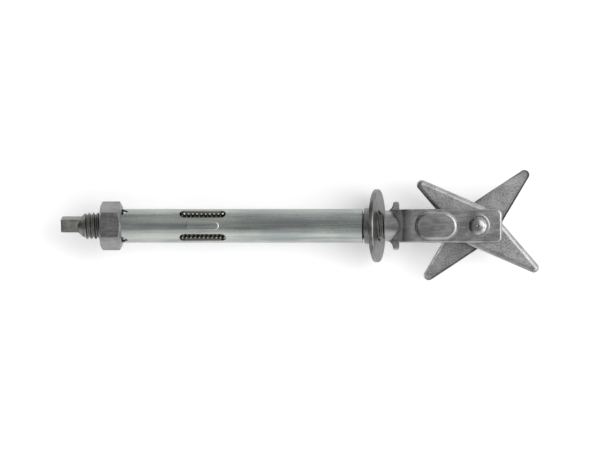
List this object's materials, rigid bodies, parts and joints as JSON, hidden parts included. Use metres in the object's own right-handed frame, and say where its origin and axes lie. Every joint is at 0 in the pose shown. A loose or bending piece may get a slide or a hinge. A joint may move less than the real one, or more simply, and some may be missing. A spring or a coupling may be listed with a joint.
{
  "type": "spring toggle bolt",
  "caption": "Hollow-wall anchor: threaded stud with nut, slotted sleeve, washers and a clevis whose sprung wings fold to pass the hole and open behind the wall.",
  "frame": {"origin": "on the bolt's axis, in the outer face of the hexagon nut, where a bracket or fixture is clamped", "axes": "+X along the bolt from the nut to the toggle, +Y across the wings, +Z along the rivet, square to the flat of the bracket's arms"},
  "size_m": [0.1407, 0.0325, 0.0214],
  "materials": {
    "stud_steel": "zinc-plated rolled thread, satin",
    "nut_steel": "bright cold-formed steel",
    "sleeve_steel": "zinc-plated drawn tube, faint yellow cast",
    "washer_steel": "tumbled stamped steel",
    "bracket_steel": "drawn sheet steel with soft press marks",
    "rivet_steel": "bright, burnished",
    "wing_steel": "tumbled pressed steel, fine mottle",
    "spring_steel": "drawn spring wire"
  },
  "bodies": {
    "bolt": {"threaded_stud": "stud_steel", "clevis_bracket": "bracket_steel", "wing_rivet": "rivet_steel", "torsion_spring": "spring_steel"},
    "sleeve": {"expansion_sleeve": "sleeve_steel"},
    "nut": {"hex_nut": "nut_steel"},
    "lock_washer": {"spring_lock_washer": "washer_steel"},
    "wall_washer": {"flat_washer": "washer_steel"},
    "front_wing": {"front_wing": "wing_steel"},
    "back_wing": {"back_wing": "wing_steel"}
  },
  "joints": [
    {"name": "sleeve_travel", "type": "slide", "parent": "bolt", "child": "sleeve", "axis": [1, 0, 0], "range_m": [-0.00376, 0.00154]},
    {"name": "nut_turn", "type": "hinge", "parent": "sleeve", "child": "nut", "pos_m": [0, 0, 0], "axis": [1, 0, 0], "range_deg": [-1080, 440]},
    {"name": "lock_washer_travel", "type": "slide", "parent": "bolt", "child": "lock_washer", "axis": [1, 0, 0], "range_m": [-0.00296, 0.00122]},
    {"name": "wall_washer_travel", "type": "slide", "parent": "bolt", "child": "wall_washer", "axis": [1, 0, 0], "range_m": [-0.00195, 0.00081]},
    {"name": "front_wing_swing", "type": "hinge", "parent": "bolt", "child": "front_wing", "pos_m": [0.11122, 0, 0], "axis": [0, 0, 1], "range_deg": [-53.6, 36.4], "stiffness_Nm_per_rad": 0.03, "deforming": ["torsion_spring"]},
    {"name": "back_wing_swing", "type": "hinge", "parent": "bolt", "child": "back_wing", "pos_m": [0.11122, 0, 0], "axis": [0, 0, 1], "range_deg": [-46.4, 43.6], "stiffness_Nm_per_rad": 0.03, "deforming": ["torsion_spring"]}
  ],
  "couplings": [
    {"joint": "sleeve_travel", "follows": "nut_turn", "m_per_rad": 0.00019894},
    {"joint": "lock_washer_travel", "follows": "nut_turn", "m_per_rad": 0.00015597},
    {"joint": "wall_washer_travel", "follows": "nut_turn", "m_per_rad": 0.00010226}
  ]
}
